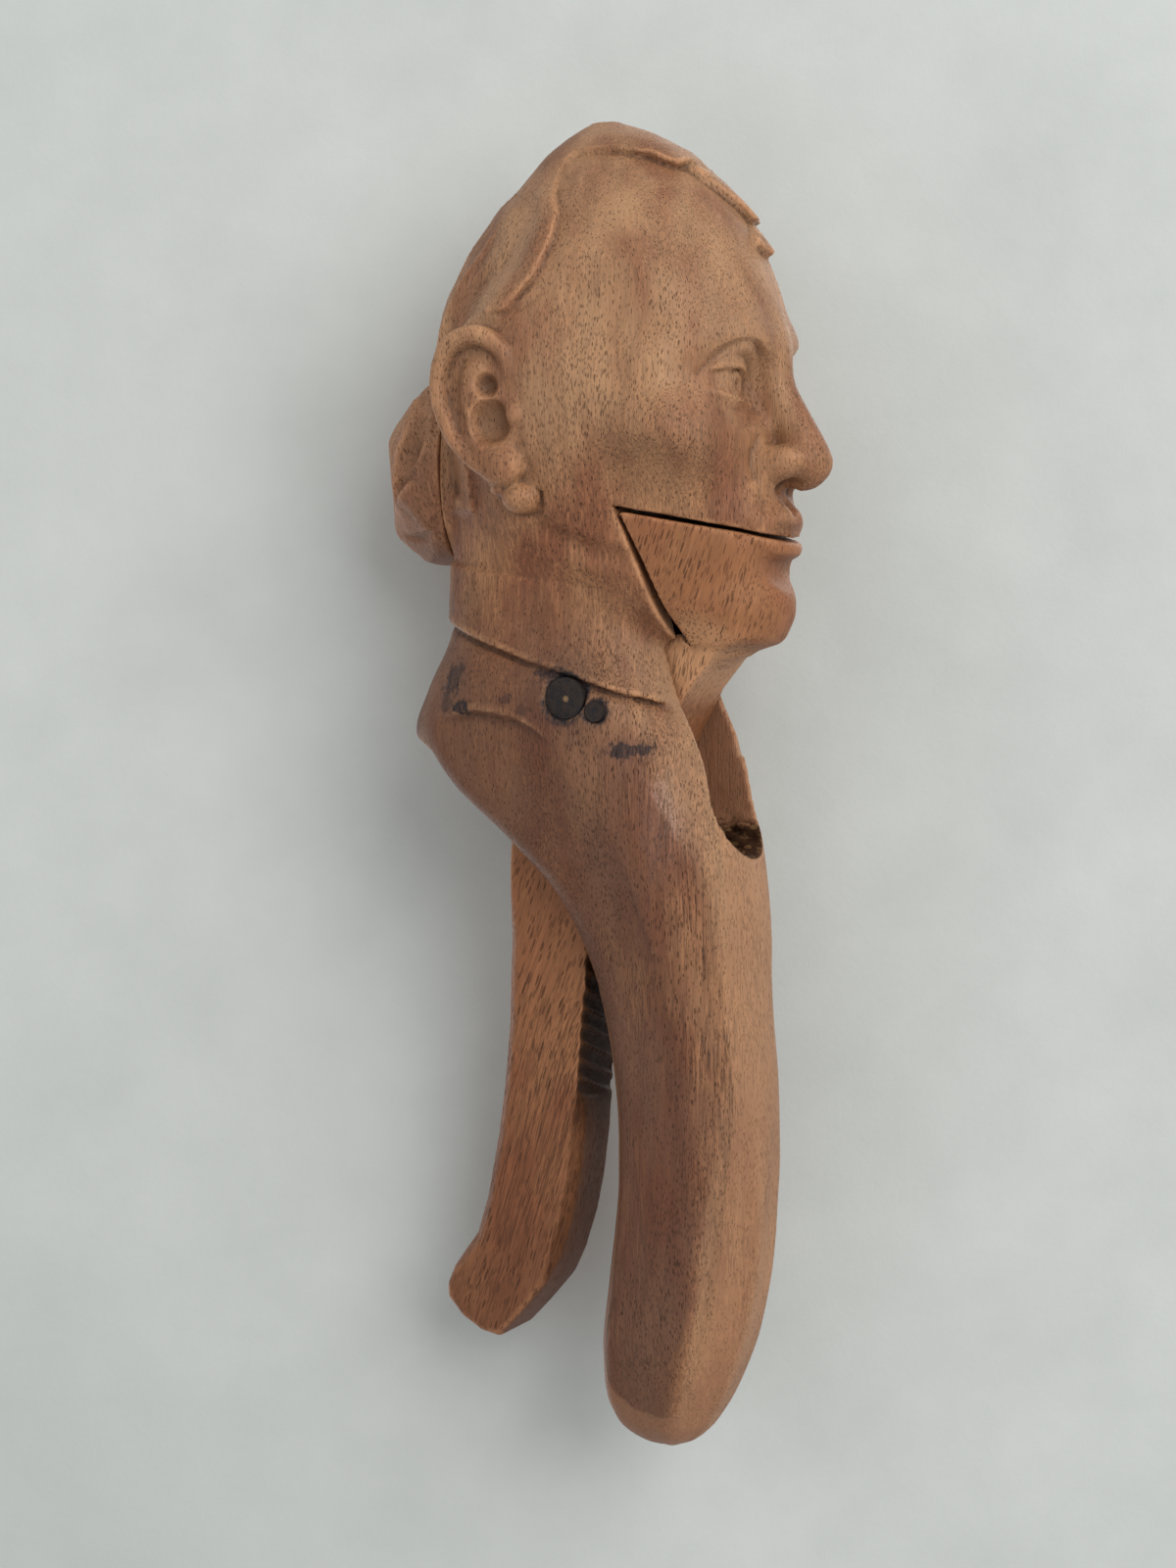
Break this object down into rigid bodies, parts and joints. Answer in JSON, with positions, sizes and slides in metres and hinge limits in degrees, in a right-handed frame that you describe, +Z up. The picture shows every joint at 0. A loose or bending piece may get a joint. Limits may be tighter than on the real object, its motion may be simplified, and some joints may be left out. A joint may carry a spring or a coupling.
{
  "type": "figural lever nutcracker",
  "caption": "Hand nutcracker carved in wood as a head on a curved handle; a rear lever on an iron pin works the lower jaw.",
  "frame": {"origin": "bottom centre of the bounding box, under the figure standing upright on the end of its front handle", "axes": "+Z up the figure; the face looks along -Y; +X is the figure's left side"},
  "size_m": [0.0512, 0.075, 0.2045],
  "materials": {
    "walnut": "satin",
    "lever_wood": "satin",
    "iron": "matte"
  },
  "bodies": {
    "figure": {"body": "walnut", "hair_bun": "walnut", "pivot_pin": "iron", "locking_brad": "iron"},
    "jaw": {"jaw_lever": "lever_wood"}
  },
  "joints": [
    {"name": "jaw_hinge", "type": "hinge", "parent": "figure", "child": "jaw", "pos_m": [0, -0.0015, 0.1165], "axis": [1, 0, 0], "range_deg": [0, 33]}
  ]
}
